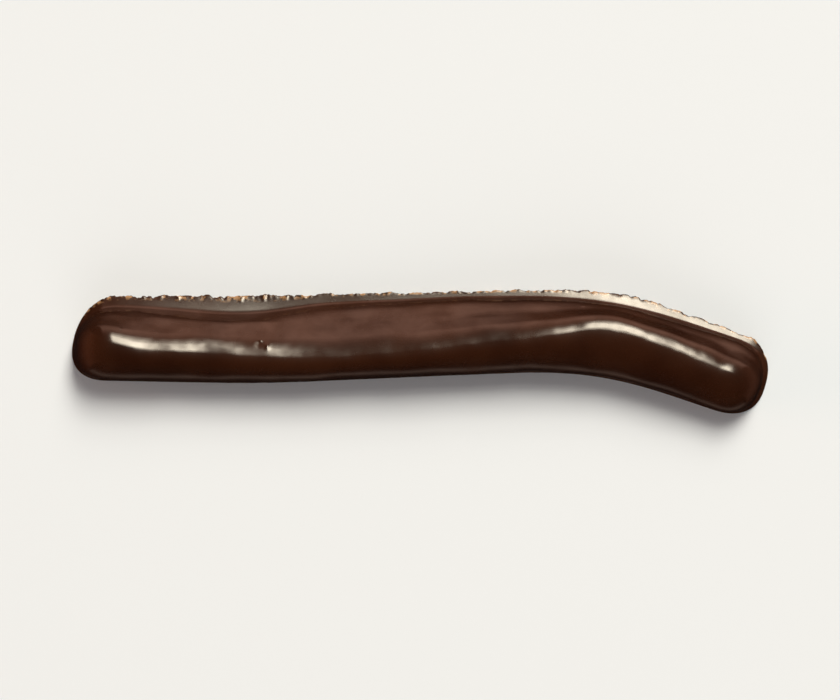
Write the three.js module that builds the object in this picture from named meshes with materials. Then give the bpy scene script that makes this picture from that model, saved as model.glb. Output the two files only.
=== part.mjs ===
// An orangette: a strip of candied orange peel dipped in dark chocolate, made as one solid.
//
// Millimetres, +Z up. The strip lies along X on the flat underside it set on. Its far side
// (+Y) is a steep sloping back over a thin ragged foot of chocolate, its near side (-Y) is a
// round shoulder over a steep wall, and towards +X it bends round to the near side.
//
// The solid is a rounded section, extruded straight and then laid along the bent axis by
// one function, place(), which also rounds the two ends and adds the unevenness by hand.

import * as THREE from "three";
import { mergeVertices } from "three/addons/utils/BufferGeometryUtils.js";

// ---- Driving sizes of the whole strip ----
const LENGTH = 80; // along the bent axis, from end to end above the foot
const WIDTH = 9.5; // across the plain stretch, foot included
const HEIGHT = 6.4; // of the plain stretch

// ---- The section: v runs across, + to the far side, and z runs up ----
const FOOT = 0.36; // thickness of the foot
const LIP = 5.2; // across to the far foot's edge
const TOE = 3.75; // across to where the far foot meets the back
const FLANGE_RISE = 0.2; // of the far foot's upper side, from its edge to the back
const HIP = { v: 2.85, z: 2.8 }; // where the back leans over
const ARRIS = { v: -0.2, z: 6.15 }; // where the back meets the top
const SHOULDER = { v: -5.12, z: 6.35 }; // where the top would meet the near wall
const NEAR_TOE = { v: -4.5, z: 0.55 }; // the near wall leans in above its own small foot
const NEAR_LIP = -4.75;
const SECTION_WIDTH = 10; // across the section as drawn
const SPINE = 2.6; // the height that the coat's unevenness spreads out from
const GIRTH_RADIUS = 4.2; // of the round that measures places on the coat by their girth

// ---- The ends ----
const LEFT_END = { cap: 4.4, power: 2.3, slant: 0.18, lean: 0.14, centre: -0.3, foot: 0.1 };
const RIGHT_END = { cap: 4.5, power: 2.4, slant: 0, lean: 0.06, centre: -0.4, foot: 0.4 };
const CAP_ANGLE = THREE.MathUtils.degToRad(82); // where a cap's last ring is closed flat
const CAP_BLUNTNESS = 0.6; // 1 rounds a cap's height as much as its width, 0 not at all

// ---- The mesh ----
const CAP_STEPS = 8;
const BODY_STEPS = 90;
const STEPS = BODY_STEPS + 2 * CAP_STEPS;

// A soft rise and fall of height 1 round a centre.
function swell(x, centre, reach) {
  return Math.exp(-(((x - centre) / reach) ** 2));
}

// 0 before start, 1 after end, and an even slope between.
function ease(x, start, end) {
  return THREE.MathUtils.smoothstep(x, start, end);
}

// ---- The bent axis ----

// The heading turns a little to the far side, then by about 20 degrees to the near side.
function heading(s) {
  const lift = 2.4 * ease(s, 16, 26.5);
  const bend = 20.5 * ease(s, 48.7, 72.5);
  return THREE.MathUtils.degToRad(-0.6 + lift - bend);
}

// The axis is the heading added up in short steps, so it can be asked for at any s.
const AXIS_STEP = 0.2;
const axisPoints = [new THREE.Vector2(0, 0)];
for (let s = 0; s < LENGTH; s += AXIS_STEP) {
  const angle = heading(s + AXIS_STEP / 2);
  const step = new THREE.Vector2(Math.cos(angle), Math.sin(angle)).multiplyScalar(AXIS_STEP);
  axisPoints.push(axisPoints[axisPoints.length - 1].clone().add(step));
}

function axisPoint(s) {
  const last = axisPoints.length - 2;
  const index = THREE.MathUtils.clamp(Math.floor(s / AXIS_STEP), 0, last);
  const part = s / AXIS_STEP - index;
  return axisPoints[index].clone().lerp(axisPoints[index + 1], part);
}

// ---- Unevenness along the strip ----

function widthAt(s) {
  return WIDTH + 0.65 * swell(s, 20, 22);
}

// The ridge sinks from the left end, rises to the bend and falls off to the right end.
function heightAt(s) {
  return HEIGHT + 0.9 * swell(s, 0, 14) + 0.9 * swell(s, 54, 19) - 0.8 * swell(s, 82, 13);
}

// The arris wanders: it keeps to the near side, and crosses over at the bend.
function arrisShift(s) {
  const left = 1.5 * swell(s, 0, 6) - 1.0 * swell(s, 30, 12);
  const bend = 2.0 * swell(s, 65.5, 13.5) + 0.8 * swell(s, 61, 4) + 0.5 * swell(s, 75, 4.5);
  return left + bend;
}

// The toe of the back stands in a little on the left, and out on the rest.
function toeShift(s) {
  return 0.4 * ease(s, 22, 30) + 0.3 * swell(s, 46, 9) - 0.65 * swell(s, 18, 8);
}

// The far foot's upper side climbs to the back on the left and past the bend.
function toeLift(s) {
  return 0.5 * (1 - ease(s, 14, 30)) - 0.08 * swell(s, 44, 8) + 0.13 * ease(s, 52, 60);
}

// The far foot is ragged: chocolate ran out and set, most of all at the bend.
function ragged(s) {
  const waves = Math.sin(0.9 * s + 0.7) + Math.sin(1.7 * s + 2.0) + 0.7 * Math.sin(2.6 * s);
  return 0.05 * waves + 0.4 * swell(s, 63, 6);
}

// The coat is never quite even: long low waves that run askew round it.
function coatWave(s, girth) {
  const long = Math.sin(0.37 * s + 0.5 * girth + 1.1) + 0.7 * Math.sin(0.61 * s - 0.8 * girth);
  const short = 0.3 * Math.sin(1.13 * s + 1.3 * girth + 2.4);
  return 0.04 * (long + short);
}

// Small blemishes: where they are, how wide, and how deep they go (a bump is less than 0).
const BLEMISHES = [
  { s: 75.2, v: 1.6, reach: 1.3, depth: 0.2 },
  { s: 35.6, v: 1.3, reach: 1.6, depth: -0.12 },
  { s: 47.5, v: 1.0, reach: 1.8, depth: -0.1 },
];

function blemish(s, v) {
  let depth = 0;
  for (const spot of BLEMISHES) {
    depth += spot.depth * swell(s, spot.s, spot.reach) * swell(v, spot.v, spot.reach);
  }
  return depth;
}

// ---- The section's outline ----

// One corner, rounded by an arc of the given radius in the given number of steps.
function roundCorner(before, corner, after) {
  const place = new THREE.Vector2(corner.v, corner.z);
  const back = new THREE.Vector2(before.v, before.z).sub(place).normalize();
  const on = new THREE.Vector2(after.v, after.z).sub(place).normalize();
  const half = Math.acos(THREE.MathUtils.clamp(back.dot(on), -1, 1)) / 2;
  const middle = back.clone().add(on).normalize();
  const centre = middle.clone().multiplyScalar(corner.radius / Math.sin(half)).add(place);
  const start = back.multiplyScalar(corner.radius / Math.tan(half)).add(place).sub(centre);
  const end = on.multiplyScalar(corner.radius / Math.tan(half)).add(place).sub(centre);
  const turn = Math.atan2(start.cross(end), start.dot(end));
  const points = [];
  for (let i = 0; i <= corner.steps; i += 1) {
    const arm = start.clone().rotateAround(new THREE.Vector2(), (turn * i) / corner.steps);
    points.push(arm.add(centre));
  }
  return points;
}

// The whole outline, the far foot first; run is the number of steps of the straight after it.
function sectionOutline() {
  const corners = [
    { v: LIP, z: 0, radius: 0.1, steps: 1, run: 1 },
    { v: LIP, z: FOOT, radius: 0.14, steps: 2, run: 1 },
    { v: TOE, z: FOOT + FLANGE_RISE, radius: 0.55, steps: 2, run: 2 },
    { v: HIP.v, z: HIP.z, radius: 4.2, steps: 3, run: 2 },
    { v: ARRIS.v, z: ARRIS.z, radius: 3.3, steps: 5, run: 1 },
    { v: SHOULDER.v, z: SHOULDER.z, radius: 2.9, steps: 8, run: 2 },
    { v: NEAR_TOE.v, z: NEAR_TOE.z, radius: 0.3, steps: 1, run: 1 },
    { v: NEAR_LIP, z: FOOT - 0.05, radius: 0.1, steps: 1, run: 1 },
    { v: NEAR_LIP, z: 0, radius: 0.1, steps: 1, run: 6 },
  ];
  const count = corners.length;
  const arcs = corners.map((corner, i) =>
    roundCorner(corners[(i + count - 1) % count], corner, corners[(i + 1) % count]),
  );
  const outline = [];
  corners.forEach((corner, i) => {
    outline.push(...arcs[i]);
    const from = arcs[i][arcs[i].length - 1];
    const to = arcs[(i + 1) % count][0];
    for (let k = 1; k < corner.run; k += 1) {
      outline.push(from.clone().lerp(to, k / corner.run));
    }
  });
  return outline;
}

// ---- The rings ----

// A ring's place along the axis, how much a cap narrows it and about which line, and how far
// the foot runs out beyond it.
function ringAt(index) {
  const fromRight = STEPS - index;
  const end = index < CAP_STEPS ? LEFT_END : RIGHT_END;
  const into = Math.min(index, fromRight);
  if (into >= CAP_STEPS) {
    const body = LENGTH - LEFT_END.cap - RIGHT_END.cap;
    const s = LEFT_END.cap + (body * (index - CAP_STEPS)) / BODY_STEPS;
    return { s, narrow: 1, out: 0, centre: 0 };
  }
  const angle = CAP_ANGLE * (1 - into / CAP_STEPS);
  const reach = end.cap * (1 - Math.sin(angle) ** (2 / end.power));
  const side = end === LEFT_END ? -1 : 1;
  return {
    s: side < 0 ? reach : LENGTH - reach,
    narrow: Math.cos(angle) ** (2 / end.power),
    out: side * end.foot * Math.sin(angle),
    centre: end.centre,
  };
}

// How much an end still shapes the strip at s: 1 at its tip, 0 beyond a few millimetres.
function endHold(s, end) {
  const distance = end === LEFT_END ? s : LENGTH - s;
  return 1 - ease(distance, 0, 3 * end.cap);
}

// Takes a point of the straight extrusion to its place on the finished strip.
function place(point, section) {
  const ring = ringAt(Math.round(point.z * STEPS));
  const up = Math.max(section.z - FOOT, 0);
  const base = Math.min(section.z, FOOT);
  const isFoot = 1 - ease(section.z, FOOT, FOOT + 0.5);
  const upFlange = section.v > 0 ? Math.min((LIP - section.v) / (LIP - TOE), 1) : 0;
  const isToe = ease(section.v, 2, 3.4) * upFlange;
  const isLip = ease(section.v, 4.55, 5.15);
  const across = 2 * (section.v / SECTION_WIDTH);

  // The arris and the toe wander, and the foot's far edge is ragged.
  const runOut = ragged(ring.s) * isLip;
  let v = section.v + arrisShift(ring.s) * Math.max(1 - across ** 2, 0) * (up / HEIGHT);
  v += toeShift(ring.s) * isToe;
  v *= widthAt(ring.s) / SECTION_WIDTH;
  v += runOut;

  // What stands above the foot follows the ridge, and the foot's upper side keeps its slope.
  let z = base + up * (heightAt(ring.s) / HEIGHT);
  if (section.z > FOOT - 0.1) {
    z += toeLift(ring.s) * upFlange * (1 - ease(section.z, FOOT + 0.3, 3.2));
    z -= (runOut * (FLANGE_RISE + toeLift(ring.s))) / (LIP - TOE - toeShift(ring.s));
  }

  // The waves and the blemishes push the coat straight out or in.
  const outward = new THREE.Vector2(v, z - SPINE).normalize();
  const girth = GIRTH_RADIUS * Math.atan2(outward.x, outward.y);
  let relief = coatWave(ring.s, girth) - blemish(ring.s, v);
  relief *= ease(section.z, FOOT - 0.1, FOOT + 0.9);
  v += relief * outward.x;
  z += relief * outward.y;

  // The caps narrow the ring, and the foot runs out a little past them.
  v = ring.centre + (v - ring.centre) * ring.narrow;
  z = base + (z - base) * ring.narrow ** CAP_BLUNTNESS;
  let s = ring.s + ring.out * isFoot;

  // The left end was cut askew, and both end faces lean back as they rise.
  const left = endHold(ring.s, LEFT_END);
  const right = endHold(ring.s, RIGHT_END);
  s += left * (LEFT_END.slant * v + LEFT_END.lean * z);
  s -= right * (RIGHT_END.slant * v + RIGHT_END.lean * z);

  const angle = heading(s);
  const axis = axisPoint(s);
  return new THREE.Vector3(axis.x - v * Math.sin(angle), axis.y + v * Math.cos(angle), z);
}

// ---- The solid ----

function makeOrangetteGeometry() {
  const outline = sectionOutline();
  const extruded = new THREE.ExtrudeGeometry(new THREE.Shape(outline), {
    depth: 1,
    steps: STEPS,
    bevelEnabled: false,
  });
  extruded.deleteAttribute("normal");
  extruded.deleteAttribute("uv");
  const geometry = mergeVertices(extruded, 1e-5);
  const position = geometry.getAttribute("position");
  for (let i = 0; i < position.count; i += 1) {
    const point = new THREE.Vector3().fromBufferAttribute(position, i);
    const placed = place(point, { v: point.x, z: point.y });
    position.setXYZ(i, placed.x, placed.y, placed.z);
  }
  geometry.computeBoundingBox();
  const middle = geometry.boundingBox.getCenter(new THREE.Vector3());
  geometry.translate(-middle.x, -middle.y, -geometry.boundingBox.min.z);
  geometry.computeVertexNormals();
  return geometry;
}

const darkChocolate = new THREE.MeshStandardMaterial({
  color: 0x30170b,
  roughness: 0.28,
  metalness: 0,
});

const orangette = new THREE.Mesh(makeOrangetteGeometry(), darkChocolate);
orangette.name = "orangette";

const group = new THREE.Group();
group.add(orangette);

export default group;
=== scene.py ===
# %% [markdown]
# # An orangette
#
# A strip of candied orange peel, dipped in dark chocolate and left to set on a belt. The
# chocolate ran down a little before it set, so the strip stands on a thin ragged foot, its
# underside keeps the belt's pattern, and the rest is smooth, softly glossy and never quite
# even.
#
# The script makes one piece over the strip's plain solid, on the same bent axis and the same
# section, and then gives it a chocolate finish, a floor, light and a camera.

# %% The plain solid, and its box
import math

import bmesh
import bpy
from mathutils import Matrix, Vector, noise


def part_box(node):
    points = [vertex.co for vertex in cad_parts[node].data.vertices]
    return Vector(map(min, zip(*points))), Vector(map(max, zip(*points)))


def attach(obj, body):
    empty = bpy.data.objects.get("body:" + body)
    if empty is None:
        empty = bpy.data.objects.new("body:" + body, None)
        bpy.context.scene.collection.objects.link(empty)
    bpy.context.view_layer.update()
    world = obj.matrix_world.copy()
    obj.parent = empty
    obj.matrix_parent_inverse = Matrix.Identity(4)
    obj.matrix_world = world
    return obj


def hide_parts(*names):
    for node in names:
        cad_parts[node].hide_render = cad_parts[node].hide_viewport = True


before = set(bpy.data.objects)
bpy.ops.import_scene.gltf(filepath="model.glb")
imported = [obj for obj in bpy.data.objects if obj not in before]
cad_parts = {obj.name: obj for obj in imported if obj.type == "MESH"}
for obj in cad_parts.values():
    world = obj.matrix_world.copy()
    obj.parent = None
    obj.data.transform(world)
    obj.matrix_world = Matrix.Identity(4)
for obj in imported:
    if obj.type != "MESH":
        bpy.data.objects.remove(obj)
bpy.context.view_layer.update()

MM = 0.001
NODE = "orangette"
low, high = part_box(NODE)
print("the solid is", [round((b - a) / MM, 2) for a, b in zip(low, high)], "mm")

# %% [markdown]
# ## The camera
#
# The photograph looks almost straight down, from about 62 cm. The strip lay a little above
# the middle of the picture, so the camera sees it from slightly towards its near side. A
# long lens fills the frame with the strip and keeps that viewing angle.

# %% The camera
VIEW_FROM = Vector((0, -26.4, 625)) * MM  # from the strip's middle to the camera
STRIP_SHARE = 0.833  # of the picture's width that the strip takes up

middle = (low + high) / 2
camera_data = bpy.data.cameras.new("camera")
camera = bpy.data.objects.new("camera", camera_data)
bpy.context.scene.collection.objects.link(camera)
bpy.context.scene.camera = camera
camera.location = middle + VIEW_FROM
camera.rotation_euler = (-VIEW_FROM).to_track_quat("-Z", "Y").to_euler()
picture_width = (high.x - low.x) / STRIP_SHARE
camera_data.lens = camera_data.sensor_width * VIEW_FROM.length / picture_width
print("lens", round(camera_data.lens), "mm")

# %% [markdown]
# ## Sizes
#
# These are the solid's own driving sizes, in millimetres, so that the piece lies in the
# solid's skin everywhere. The section is drawn across the strip: v runs to the far side,
# where the ragged foot is, and z runs up.

# %% Sizes
LENGTH = 80  # along the bent axis, from end to end above the foot
WIDTH = 9.5  # across the plain stretch, foot included
HEIGHT = 6.4  # of the plain stretch
FOOT = 0.36  # thickness of the foot
SPINE = 2.6  # the height that the coat's unevenness spreads out from
GIRTH_RADIUS = 4.2  # of the round that measures places on the coat by their girth
SECTION_WIDTH = 10  # across the section as drawn

LEFT_END = {"cap": 4.4, "power": 2.3, "slant": 0.18, "lean": 0.14, "centre": -0.3, "foot": 0.1}
RIGHT_END = {"cap": 4.5, "power": 2.4, "slant": 0.0, "lean": 0.06, "centre": -0.4, "foot": 0.4}
CAP_ANGLE = math.radians(89.4)  # where a cap's last ring is closed
CAP_BLUNTNESS = 0.6  # 1 rounds a cap's height as much as its width, 0 not at all
CAP_STEPS = 30
BODY_STEPS = 570
STEPS = BODY_STEPS + 2 * CAP_STEPS


# %% Two curves that everything below is shaped with
def swell(x, centre, reach):
    """A soft rise and fall of height 1 round a centre."""
    return math.exp(-(((x - centre) / reach) ** 2))


def ease(x, start, end):
    """0 before start, 1 after end, and an even slope between."""
    t = min(max((x - start) / (end - start), 0), 1)
    return t * t * (3 - 2 * t)


# %% [markdown]
# ## The bent axis
#
# A bend could be made with a curve and a Curve modifier. A heading that turns along the way
# says the same in a few lines, and its running sum is the axis. The strip turns a little
# towards its far side, then by about 20 degrees towards its near side.

# %% The bent axis
AXIS_STEP = 0.2
START_HEADING, FAR_TURN, NEAR_TURN = -0.6, 2.4, 20.5  # degrees


def heading(s):
    """The axis's direction at s millimetres along the strip, towards the far side."""
    lift = FAR_TURN * ease(s, 16, 26.5)
    bend = NEAR_TURN * ease(s, 48.7, 72.5)
    return math.radians(START_HEADING + lift - bend)


axis_points = [Vector((0, 0))]
while len(axis_points) * AXIS_STEP <= LENGTH + AXIS_STEP:
    angle = heading((len(axis_points) - 0.5) * AXIS_STEP)
    step = Vector((math.cos(angle), math.sin(angle))) * AXIS_STEP
    axis_points.append(axis_points[-1] + step)


def axis_point(s):
    index = min(max(math.floor(s / AXIS_STEP), 0), len(axis_points) - 2)
    return axis_points[index].lerp(axis_points[index + 1], s / AXIS_STEP - index)


print("the axis ends at", [round(c, 1) for c in axis_point(LENGTH)])

# %% [markdown]
# ## Unevenness along the strip
#
# Peel is cut by hand and dries as it likes. The ridge sinks from the left end, rises to the
# bend and falls off again, the arris between back and top wanders, and long low waves run
# askew over the coat.


# %% Unevenness along the strip
def width_at(s):
    return WIDTH + 0.65 * swell(s, 20, 22)


def height_at(s):
    left, bend, right = swell(s, 0, 14), swell(s, 54, 19), swell(s, 82, 13)
    return HEIGHT + 0.9 * left + 0.9 * bend - 0.8 * right


def arris_shift(s):
    """How far the arris wanders towards the far side."""
    left = 1.5 * swell(s, 0, 6) - 1.0 * swell(s, 30, 12)
    bend = 2.0 * swell(s, 65.5, 13.5) + 0.8 * swell(s, 61, 4) + 0.5 * swell(s, 75, 4.5)
    return left + bend


def toe_shift(s):
    """How far the line where the back meets the foot steps out."""
    return 0.4 * ease(s, 22, 30) + 0.3 * swell(s, 46, 9) - 0.65 * swell(s, 18, 8)


def toe_lift(s):
    """How much higher than drawn the back meets the foot."""
    return 0.5 * (1 - ease(s, 14, 30)) - 0.08 * swell(s, 44, 8) + 0.13 * ease(s, 52, 60)


def ragged(s):
    """How far the foot's edge runs out."""
    waves = math.sin(0.9 * s + 0.7) + math.sin(1.7 * s + 2.0) + 0.7 * math.sin(2.6 * s)
    return 0.05 * waves + 0.4 * swell(s, 63, 6)


def coat_wave(s, girth):
    """Long low waves, askew over the coat."""
    long = math.sin(0.37 * s + 0.5 * girth + 1.1) + 0.7 * math.sin(0.61 * s - 0.8 * girth)
    short = 0.3 * math.sin(1.13 * s + 1.3 * girth + 2.4)
    return 0.04 * (long + short)


BLEMISHES = [  # place along and across, reach, and depth; a bump has a depth below 0
    (75.2, 1.6, 1.3, 0.2),
    (35.6, 1.3, 1.6, -0.12),
    (47.5, 1.0, 1.8, -0.1),
]


def blemish(s, v):
    """How far the coat lies in, at the dent and the two bumps."""
    return sum(d * swell(s, at, reach) * swell(v, across, reach)
               for at, across, reach, d in BLEMISHES)


# %% [markdown]
# ## The section
#
# The outline starts as nine corners joined by edges. Bevelling a corner of a bare outline
# rounds it with an arc, so each corner needs only its place, a radius and a number of
# steps. The straight edges between are then divided, to give the relief points to move.

# %% The section's outline
LIP, TOE = 5.2, 3.75  # across to the foot's edge, and to where it meets the back
FLANGE_RISE = 0.2  # of the foot's upper side, from its edge to the back
CORNERS = [  # v, z, radius, steps of the arc, steps of the straight edge after it
    (LIP, 0, 0.1, 2, 2),
    (LIP, FOOT, 0.14, 4, 4),
    (TOE, FOOT + FLANGE_RISE, 0.55, 8, 5),
    (2.85, 2.8, 4.2, 10, 6),
    (-0.2, 6.15, 3.3, 22, 2),
    (-5.12, 6.35, 2.9, 26, 8),
    (-4.5, 0.55, 0.3, 4, 2),
    (-4.75, FOOT - 0.05, 0.1, 2, 1),
    (-4.75, 0, 0.1, 2, 42),
]

CORNER_COUNT = len(CORNERS)
spots = [Vector((0, v, z)) for v, z, *_ in CORNERS]
strip = bmesh.new()
corners = [strip.verts.new(spot) for spot in spots]
for first, second in zip(corners, corners[1:] + corners[:1]):
    strip.edges.new((first, second))


def setback(i):
    """How far from corner i its arc leaves the straight edges."""
    to_last, to_next = spots[i - 1] - spots[i], spots[(i + 1) % CORNER_COUNT] - spots[i]
    turn = math.pi - to_last.angle(to_next)
    return CORNERS[i][2] * math.tan(turn / 2)


def straight_edge(i):
    """The straight edge that is left between corner i's arc and the next one's."""
    j = (i + 1) % CORNER_COUNT
    along = (spots[j] - spots[i]).normalized()
    halfway = (spots[i] + along * setback(i) + spots[j] - along * setback(j)) / 2
    return min(strip.edges, key=lambda e: (sum_of_ends(e) / 2 - halfway).length)


def sum_of_ends(edge):
    return edge.verts[0].co + edge.verts[1].co


for i, (_, _, _, arc_steps, _) in enumerate(CORNERS):
    bmesh.ops.bevel(strip, geom=[corners[i]], offset=setback(i), offset_type="OFFSET",
                    segments=arc_steps, profile=0.5, affect="VERTICES", material=-1)
for i, (*_, run) in enumerate(CORNERS):
    if run > 1:
        bmesh.ops.subdivide_edges(strip, edges=[straight_edge(i)], cuts=run - 1)
outline_count = len(strip.verts)
print("the outline has", outline_count, "points")

# %% [markdown]
# ## The skin
#
# The outline is pulled out once along X, and the long edges are cut into rings. This makes
# a straight open tube of clean four-sided faces, in which every point still knows its place
# along the strip (x, from 0 to 1) and across it.

# %% The straight tube
outline_edges = list(strip.edges)
pulled = bmesh.ops.extrude_edge_only(strip, edges=outline_edges)["geom"]
bmesh.ops.translate(strip, vec=(1, 0, 0),
                    verts=[e for e in pulled if isinstance(e, bmesh.types.BMVert)])
long_edges = [e for e in strip.edges if abs(e.verts[0].co.x - e.verts[1].co.x) > 0.5]
bmesh.ops.subdivide_edges(strip, edges=long_edges, cuts=STEPS - 1, use_grid_fill=True)
print("the tube has", len(strip.verts), "points and", len(strip.faces), "faces")


# %% [markdown]
# ## From the tube to the strip
#
# A ring near an end belongs to its cap: it is narrowed as a blunt ellipse would be, so the
# tube closes into a rounded end. Then the ridge, the arris, the relief and the slanting cut
# are added, and the ring goes to its place on the bent axis.


# %% Where each ring goes
def ring_at(index):
    """The ring's place along the axis, its narrowing, how far its foot runs out, its centre."""
    into = min(index, STEPS - index)
    if into >= CAP_STEPS:
        body = LENGTH - LEFT_END["cap"] - RIGHT_END["cap"]
        return LEFT_END["cap"] + body * (index - CAP_STEPS) / BODY_STEPS, 1, 0, 0
    end, side = (LEFT_END, -1) if index < CAP_STEPS else (RIGHT_END, 1)
    angle = CAP_ANGLE * (1 - into / CAP_STEPS)
    reach = end["cap"] * (1 - math.sin(angle) ** (2 / end["power"]))
    s = reach if side < 0 else LENGTH - reach
    out = side * end["foot"] * math.sin(angle)
    return s, math.cos(angle) ** (2 / end["power"]), out, end["centre"]


def end_hold(distance, end):
    """How much of an end's slant and lean a ring takes, from 1 at the end to 0."""
    return 1 - ease(distance, 0, 3 * end["cap"])


# %% [markdown]
# ## Fine relief
#
# What the plain solid leaves out: ripples in the coat that make the edges of a highlight
# waver, a burst air bubble on the arris, specks, the chipped lip of the foot with its curls
# and small peaks, and the belt's pattern of pebbles and crossing lines, pressed into the
# underside. A displacement modifier with a noise texture could do the ripples alone. Sums of
# swells and smooth noise do it all, and each mark stays where it was put.

# %% Fine relief
RIPPLE = 0.009
SPECKS = [  # place along and round the coat, reach, and height
    (4.96, 1.2, 0.17, 0.09), (6.7, 3.4, 0.17, 0.09), (2.4, 3.4, 0.17, 0.09),
    (58.2, 5.6, 0.2, 0.08), (70.4, -1.6, 0.15, 0.06),
]
BUBBLES = [  # the burst bubble and the coat round it: place and reach, along and round, depth
    (19.7, -0.75, 1.0, 1.2, 0.025),
    (21.4, -0.75, 0.3, 0.35, 0.05),
    (21.6, -0.2, 0.2, 0.15, -0.1),
    (22.35, -0.95, 0.24, 0.36, -0.12),
    (26.4, -0.9, 1.6, 1.6, -0.04),
]
# Small peaks on the lip: the place along the strip, and the height
LIP_PEAKS = [(7.6, 0.07), (11.9, 0.08), (19.2, 0.1), (21.9, 0.09), (24.5, 0.1), (26.6, 0.08)]
PEAK_REACH = 0.18
BELT_PITCH, BELT_DEPTH = 2.4, 0.055


def ripple(s, girth):
    """Two sizes of ripple, from smooth noise drawn out along the strip."""
    broad = noise.noise(Vector((s * 0.35, girth * 0.55, 3.1)))
    fine = noise.noise(Vector((s * 0.95, girth * 1.2, 7.7)))
    return RIPPLE * (1.6 * broad + fine)


def speck(s, girth):
    return sum(height * swell(s, at, reach) * swell(girth, round_at, reach)
               for at, round_at, reach, height in SPECKS)


def bubble(s, girth):
    return -sum(depth * swell(s, at, reach) * swell(girth, round_at, reach_round)
                for at, round_at, reach, reach_round, depth in BUBBLES)


def chip(s):
    """How far the foot's lip is broken back at s, in chips, in nicks and in fine grain."""
    chips = max(noise.noise(Vector((s * 0.8, 0.3, 0))) - 0.05, 0)
    nicks = max(noise.noise(Vector((s * 2.3, 5.3, 0))) - 0.05, 0)
    grain = noise.noise(Vector((s * 4.1, 8.9, 0)))
    return 0.45 * chips + 0.3 * nicks + 0.08 * grain


def crinkle(s, v):
    """How far the lip's upper side is curled up, or pressed down."""
    strong = 0.5 + noise.noise(Vector((s * 0.5, 2.7, 0)))
    curl = 0.08 * strong * noise.noise(Vector((s * 2.0, v * 2.4, 11.0)))
    return curl + sum(height * swell(s, at, PEAK_REACH) for at, height in LIP_PEAKS)


def belt_print(s, v):
    """Pebbles between two crossing sets of raised lines."""
    drift = 0.5 * noise.noise(Vector((s * 0.12, v * 0.12, 1.7)))
    one = abs(math.sin(math.pi * (0.6 * s + v + drift) / BELT_PITCH))
    two = abs(math.sin(math.pi * (0.6 * s - v - drift) / BELT_PITCH))
    between = min(3 * one, 3 * two, 1)
    pebbles = 0.5 + 0.5 * noise.noise(Vector((s * 2.4, v * 2.4, 4.4)))
    return BELT_DEPTH * (0.4 * between + pebbles)


# %% Each point to its place
# Stretches across the section over which each of these sets in
TOE_REACH = (2, 3.4)  # the shift of the foot's toe
LIP_REACH = (4.55, 5.15)  # the chips of the lip
RIM_REACH = (4.95, 5.15)  # its curls and peaks
GLINT_REACH = (4.65, 5.05)  # its painted glints
PRINT_EDGE = (4, 4.6)  # where the belt's print fades out
COAT_REACH = (FOOT - 0.1, FOOT + 0.9)  # heights over which the coat's unevenness sets in


def place(x, section_v, section_z):
    """Where a point of the straight tube lies on the bent strip, in millimetres."""
    s_ring, narrow, out, centre = ring_at(round(x * STEPS))
    up, base = max(section_z - FOOT, 0), min(section_z, FOOT)
    is_foot = 1 - ease(section_z, FOOT, FOOT + 0.5)
    up_flange = min((LIP - section_v) / (LIP - TOE), 1) if section_v > 0 else 0
    is_toe = ease(section_v, *TOE_REACH) * up_flange
    is_lip, is_rim = ease(section_v, *LIP_REACH), ease(section_v, *RIM_REACH)
    across = 2 * section_v / SECTION_WIDTH

    v = section_v + arris_shift(s_ring) * max(1 - across**2, 0) * up / HEIGHT
    v += toe_shift(s_ring) * is_toe
    v *= width_at(s_ring) / SECTION_WIDTH
    run_out = (ragged(s_ring) - chip(s_ring)) * is_lip
    v += run_out
    z = base + up * height_at(s_ring) / HEIGHT
    if section_z > FOOT - 0.1:
        z += toe_lift(s_ring) * up_flange * (1 - ease(section_z, FOOT + 0.3, 3.2))
        z -= run_out * (FLANGE_RISE + toe_lift(s_ring)) / (LIP - TOE - toe_shift(s_ring))
        z += crinkle(s_ring, section_v) * is_rim

    outward = Vector((v, z - SPINE)).normalized()
    girth = GIRTH_RADIUS * math.atan2(outward.x, outward.y)
    relief = coat_wave(s_ring, girth) - blemish(s_ring, v)
    relief += ripple(s_ring, girth) + speck(s_ring, girth) + bubble(s_ring, girth)
    relief *= ease(section_z, *COAT_REACH)
    v += relief * outward.x
    z += relief * outward.y

    v = centre + (v - centre) * narrow
    z = base + (z - base) * narrow**CAP_BLUNTNESS
    s = s_ring + out * is_foot

    left, right = end_hold(s_ring, LEFT_END), end_hold(LENGTH - s_ring, RIGHT_END)
    s += left * (LEFT_END["slant"] * v + LEFT_END["lean"] * z)
    s -= right * (RIGHT_END["slant"] * v + RIGHT_END["lean"] * z)
    if section_z == 0:
        z += belt_print(s, v) * (1 - ease(abs(section_v), *PRINT_EDGE)) * narrow

    angle, on_axis = heading(s), axis_point(s)
    return Vector((on_axis.x - v * math.sin(angle), on_axis.y + v * math.cos(angle), z))


# The lip attribute marks the lip's chips, where tan flecks are painted as glints.
lip_layer = strip.verts.layers.float.new("lip")
belt_layer = strip.verts.layers.float.new("belt")
for vert in strip.verts:
    x, v, z = vert.co
    vert[lip_layer] = ease(v, *GLINT_REACH) if z > 0 else 0
    vert[belt_layer] = 1 if z == 0 else 0
    vert.co = place(x, v, z)

# %% [markdown]
# ## Closing the ends
#
# Each end is still an open ring under half a millimetre across. It is filled with one face,
# which is then split into a fan, so no large many-sided face is left to shade badly.

# %% Closing the ends, and the finished mesh
open_edges = [e for e in strip.edges if e.is_boundary]
filled = bmesh.ops.edgeloop_fill(strip, edges=open_edges)["faces"]
bmesh.ops.poke(strip, faces=filled)
bmesh.ops.recalc_face_normals(strip, faces=list(strip.faces))

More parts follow.
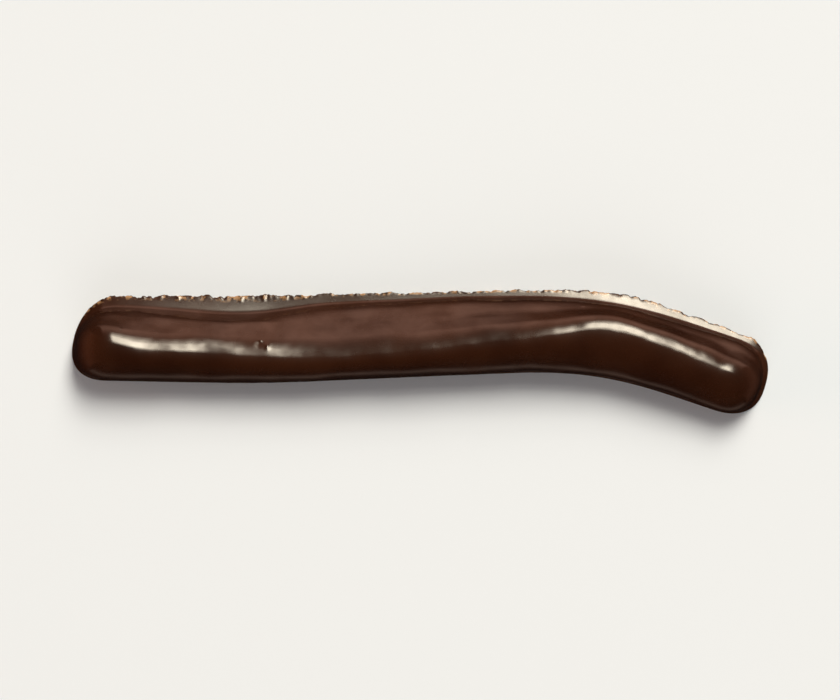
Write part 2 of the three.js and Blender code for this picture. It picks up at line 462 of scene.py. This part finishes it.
at_low = Vector([min(v.co[i] for v in strip.verts) for i in range(3)])
at_high = Vector([max(v.co[i] for v in strip.verts) for i in range(3)])
shift = (low + high) / 2 / MM - (at_low + at_high) / 2
shift.z = -at_low.z
bmesh.ops.translate(strip, verts=list(strip.verts), vec=shift)
bmesh.ops.scale(strip, verts=list(strip.verts), vec=(MM, MM, MM))
for face in strip.faces:
    face.smooth = True

strip_mesh = bpy.data.meshes.new("orangette_strip")
strip.to_mesh(strip_mesh)
print("open edges left:", sum(e.is_boundary for e in strip.edges))
strip.free()
orangette_strip = bpy.data.objects.new("orangette_strip", strip_mesh)
bpy.context.scene.collection.objects.link(orangette_strip)
print("the strip has", len(strip_mesh.polygons), "faces and measures",
      [round((b - a), 2) for a, b in zip(at_low, at_high)], "mm")

# %% [markdown]
# ## Shader sums as Python
#
# A material is a graph of nodes. Written as links it is hard to read, so one small class
# wraps a socket: adding or multiplying wrapped sockets, or taking one from a number, adds
# the Math node that does it. Every other node comes from one method.


# %% A wrapped socket, and one way to add a node
class Signal:
    """One output socket of a node, which can be used in a sum."""

    def __init__(self, finish, socket):
        self.finish, self.socket = finish, socket

    def maths(self, operation, first, second):
        return self.finish.node("ShaderNodeMath", {"operation": operation},
                                {0: first, 1: second})

    def __add__(self, other):
        return self.maths("ADD", self, other)

    def __rsub__(self, other):
        return self.maths("SUBTRACT", other, self)

    def __mul__(self, other):
        return self.maths("MULTIPLY", self, other)

    __radd__, __rmul__ = __add__, __mul__


class Finish:
    """A material that is being made."""

    def __init__(self, tree):
        self.tree = tree

    def node(self, kind, settings=None, inputs=None, output=0):
        """Adds a node, sets it, then feeds its sockets from values or signals."""
        added = self.tree.nodes.new(kind)
        for name, value in (settings or {}).items():
            setattr(added, name, value)
        for name, value in (inputs or {}).items():
            if isinstance(value, Signal):
                self.tree.links.new(value.socket, added.inputs[name])
            else:
                added.inputs[name].default_value = value
        return Signal(self, added.outputs[output]) if added.outputs else None


# %% [markdown]
# ## Dark chocolate
#
# Tempered chocolate is a very dark red-brown with a clear gloss on top. One roughness could
# stand for it, but two layers are truer: a matt brown body, and over it a coat that makes
# the gloss. The gloss is never even, because a film of cocoa butter dulled here and there as
# it set, so the coat thins there. The body drifts between two browns over a few millimetres,
# and tan flecks on the lip's chips are painted glints. Fine bumps keep the highlights from
# looking like glass, and coarser ones make the underside, which lay on the belt, duller.

# %% The chocolate's finish
chocolate = bpy.data.materials.new("dark_chocolate")
chocolate.use_nodes = True
chocolate.node_tree.nodes.clear()
finish = Finish(chocolate.node_tree)


def mottle(scale, detail, roughness=0.5):
    """Smooth noise over the piece, from 0 to 1, with its size set per metre."""
    place_on_piece = finish.node("ShaderNodeTexCoord", output="Object")
    return finish.node("ShaderNodeTexNoise", {}, {
        "Vector": place_on_piece, "Scale": scale, "Detail": detail, "Roughness": roughness})


def stretch(signal, zero_at, one_at):
    """0 where the signal is below the first value, 1 above the second, and even between."""
    return finish.node("ShaderNodeMapRange", {"clamp": True}, {
        "Value": signal, "From Min": zero_at, "From Max": one_at})


def blend_colours(factor, first, second):
    """Goes from the first colour to the second as factor goes from 0 to 1."""
    return finish.node("ShaderNodeMix", {"data_type": "RGBA"},
                       {0: factor, 6: first, 7: second}, output=2)


DEEP_BROWN = (0.021, 0.0056, 0.002, 1)
WARM_BROWN = (0.032, 0.0096, 0.0037, 1)
GLINT_TAN = (0.46, 0.27, 0.14, 1)
GLINT_COVER = 0.85  # how much of the brown a painted glint hides

body_drift = stretch(mottle(140, 3), 0.35, 0.65)
lip = finish.node("ShaderNodeAttribute", {"attribute_name": "lip"}, output="Fac")
# Painted glints: tan flecks on the lip's chips stand for light glinting on them.
painted_glints = stretch(mottle(1500, 2), 0.52, 0.6)
body = blend_colours(body_drift, DEEP_BROWN, WARM_BROWN)
colour = blend_colours(lip * painted_glints * GLINT_COVER, body, GLINT_TAN)

dulling = stretch(mottle(300, 4, 0.55), 0.38, 0.66)
roughness = 0.46 + 0.1 * dulling
coat_cover = 1.0 - 0.42 * dulling

grain = mottle(2600, 2)
hills = mottle(520, 2)
belt = finish.node("ShaderNodeAttribute", {"attribute_name": "belt"}, output="Fac")
height = hills + 0.12 * grain + 6 * belt * mottle(3000, 1)
bump = finish.node("ShaderNodeBump", {}, {
    "Strength": 0.25, "Distance": 0.06 * MM, "Height": height}, output="Normal")

surface = finish.node("ShaderNodeBsdfPrincipled", {}, {
    "Base Color": colour, "Roughness": roughness, "IOR": 1.46, "Specular IOR Level": 0.05,
    "Coat Weight": coat_cover, "Coat Roughness": 0.165, "Coat IOR": 1.65, "Normal": bump})
finish.node("ShaderNodeOutputMaterial", {}, {"Surface": surface})
strip_mesh.materials.append(chocolate)

# %% The piece in the model
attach(orangette_strip, "root")
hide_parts(NODE)

# %% [markdown]
# ## Floor and light
#
# A pale floor, and one large soft light high on the far side, a little to the right. Gloss
# shows the shape of its light, so the key's panes fade towards its edges, as a softbox does.
# It is mirrored by everything that leans about 20 degrees that way: a thin streak along the
# arris and another on the foot. A dim warm card behind the strip is mirrored by the steeper
# back and gives it its soft sheen, a dimmer one low in front does so for the near wall, and
# a reddish one stands off each end. Two weak fills light the near side and the left end, and
# aren't mirrored, because they would be seen as extra streaks.

# %% The floor
FLOOR_HALF = 6  # metres, half of its side
FLOOR_WHITE = (0.76, 0.85, 0.99, 1)  # a cool white, which the warm light makes neutral
floor_mesh = bpy.data.meshes.new("floor")
floor_shape = bmesh.new()
bmesh.ops.create_grid(floor_shape, x_segments=1, y_segments=1, size=FLOOR_HALF)
floor_shape.to_mesh(floor_mesh)
floor_shape.free()
floor = bpy.data.objects.new("floor", floor_mesh)
bpy.context.scene.collection.objects.link(floor)
floor.location.z = low.z
floor.visible_glossy = False  # the strip mirrors the panels instead, also below its horizon
floor.visible_shadow = False

pale = bpy.data.materials.new("pale_floor")
pale.use_nodes = True
pale.node_tree.nodes["Principled BSDF"].inputs["Base Color"].default_value = FLOOR_WHITE
pale.node_tree.nodes["Principled BSDF"].inputs["Roughness"].default_value = 0.9
floor_mesh.materials.append(pale)


# %% The lights
KEY_ROWS = [  # elevation in degrees, how tall, and the row's share of the full brightness
    (72, 0.3, 0.4),
    (55.5, 1.36, 0.95),
    (38.5, 0.42, 0.4),
    (30.5, 0.42, 0.13),
]
KEY_COLUMNS = [  # how far to the right, how wide, and the column's share
    (0.13, 0.08, 0.4),
    (0.725, 1.11, 1),
    (1.39, 0.22, 0.35),
]
KEY_WATTS = 59  # for each square metre at full brightness
KEY_DISTANCE = 3
KEY_COLOUR = (1.0, 0.89, 0.71)
CARD_DISTANCE = 0.9
CARD_STRIP = (1.5, 0.157)  # one strip of a card, wide and tall; it fills 10 degrees


def towards(azimuth, elevation):
    """The unit vector to a place in the sky: azimuth clockwise from +Y, elevation upwards."""
    a, e = math.radians(azimuth), math.radians(elevation)
    return Vector((math.sin(a) * math.cos(e), math.cos(a) * math.cos(e), math.sin(e)))


def add_panel(name, direction, distance, size, power, colour, to_right=0):
    """A flat panel that faces the strip, and is then moved along X."""
    data = bpy.data.lights.new(name, "AREA")
    data.shape, data.energy, data.color = "RECTANGLE", power, colour
    data.size, data.size_y = size
    panel = bpy.data.objects.new(name, data)
    bpy.context.scene.collection.objects.link(panel)
    panel.location = direction * distance + Vector((to_right, 0, 0))
    panel.rotation_euler = direction.to_track_quat("Z", "Y").to_euler()
    panel.visible_camera = False
    return panel


def add_card(name, azimuth, elevations, brightest, reach, power, colour, to_right=0):
    """A card of leaning strips, brightest at one elevation, that is only mirrored."""
    for elevation in elevations:
        strip_power = power * swell(elevation, brightest, reach)
        card = add_panel(name, towards(azimuth, elevation), CARD_DISTANCE, CARD_STRIP,
                         strip_power, colour, to_right)
        card.visible_diffuse = False


for elevation, tall, row_share in KEY_ROWS:
    for to_right, wide, column_share in KEY_COLUMNS:
        power = KEY_WATTS * wide * tall * row_share * column_share
        add_panel("key", towards(0, elevation), KEY_DISTANCE, (wide, tall), power, KEY_COLOUR,
                  to_right)

add_card("back_card", 0, range(-35, 46, 10), brightest=4, reach=24, power=1.0,
         colour=(1.0, 0.54, 0.39), to_right=0.35)
add_card("near_card", 180, range(-45, 6, 10), brightest=-24, reach=13, power=0.25,
         colour=(1.0, 0.7, 0.55))
add_card("left_card", 270, range(-45, 46, 10), brightest=5, reach=28, power=0.2,
         colour=(1.0, 0.3, 0.14))
add_card("right_card", 90, range(-45, 46, 10), brightest=0, reach=28, power=0.2,
         colour=(1.0, 0.4, 0.24))

near_fill = add_panel("near_fill", towards(180, 28), distance=2, size=(2, 1), power=11,
                      colour=(1.0, 0.89, 0.75))
left_fill = add_panel("left_fill", towards(268, 12), distance=1.5, size=(1, 0.5), power=7,
                      colour=(1.0, 0.5, 0.3))
near_fill.visible_glossy = left_fill.visible_glossy = False
print("the sky holds", len(bpy.data.lights), "panels")

# %% The surroundings
ROOM_IN_GLOSS = 0.008  # how bright the room is in the strip's gloss, next to nothing
world = bpy.data.worlds.new("studio")
bpy.context.scene.world = world
world.use_nodes = True
room = Finish(world.node_tree)
world.node_tree.nodes.clear()
seen_directly = room.node("ShaderNodeLightPath", output="Is Camera Ray")
seen_by_matt = room.node("ShaderNodeLightPath", output="Is Diffuse Ray")
strength = ROOM_IN_GLOSS + 0.8 * seen_directly + 0.1 * seen_by_matt
backdrop = room.node("ShaderNodeBackground", {}, {
    "Color": (1.0, 0.98, 0.96, 1), "Strength": strength})
room.node("ShaderNodeOutputWorld", {}, {"Surface": backdrop})
bpy.context.scene.view_settings.view_transform = "Standard"
